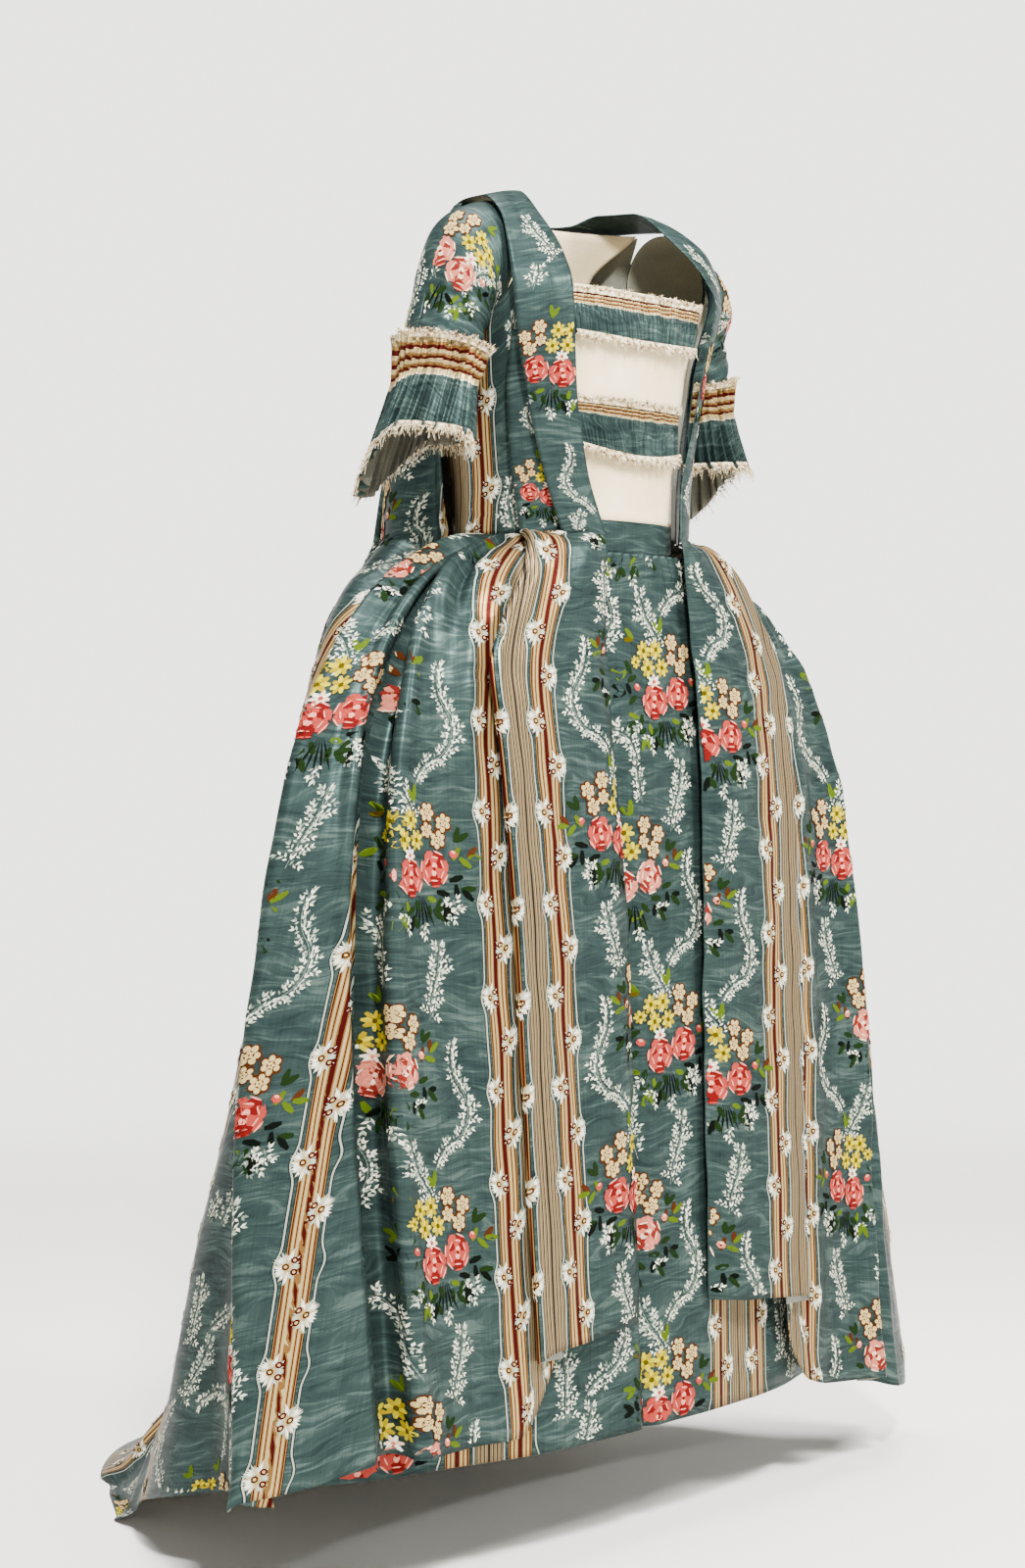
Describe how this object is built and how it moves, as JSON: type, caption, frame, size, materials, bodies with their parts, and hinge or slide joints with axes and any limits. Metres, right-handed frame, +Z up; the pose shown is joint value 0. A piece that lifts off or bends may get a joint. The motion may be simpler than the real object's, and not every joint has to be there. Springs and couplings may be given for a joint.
{
  "type": "robe a la francaise with petticoat and stomacher",
  "caption": "Open gown with elbow sleeves, pleated loose back and short train, worn over side hoops with its petticoat and stomacher, hollow and held in its worn pose.",
  "frame": {"origin": "centre of the wearer's waist, where the petticoat's band and the gown are held", "axes": "+Z up, -Y to the wearer's front, +X to the wearer's left"},
  "size_m": [1.1079, 0.7655, 1.3886],
  "materials": {
    "figured_silk": "watered silk with woven flowers and stripes",
    "linen": "plain linen",
    "striped_trim": "gathered striped silk",
    "fringe": "floss fringe"
  },
  "bodies": {
    "root": {"back_body": "linen", "back_with_train": "figured_silk", "flounce_fringe_lower_left": "fringe", "flounce_fringe_lower_right": "fringe", "flounce_fringe_upper_left": "fringe", "flounce_fringe_upper_right": "fringe", "flounce_left": "striped_trim", "flounce_right": "striped_trim", "petticoat_back": "figured_silk", "petticoat_front": "figured_silk", "petticoat_waistband": "figured_silk", "robing_left": "figured_silk", "robing_right": "figured_silk", "side_body_left": "figured_silk", "side_body_right": "figured_silk", "skirt_front_left": "figured_silk", "skirt_front_right": "figured_silk", "skirt_side_left": "figured_silk", "skirt_side_right": "figured_silk", "sleeve_left": "figured_silk", "sleeve_right": "figured_silk", "stomacher": "linen", "stomacher_fringe_lower_lower": "fringe", "stomacher_fringe_lower_upper": "fringe", "stomacher_fringe_upper_lower": "fringe", "stomacher_fringe_upper_upper": "fringe", "stomacher_ruffle_lower": "striped_trim", "stomacher_ruffle_upper": "striped_trim", "under_robing_left": "figured_silk", "under_robing_right": "figured_silk"}
  },
  "joints": []
}
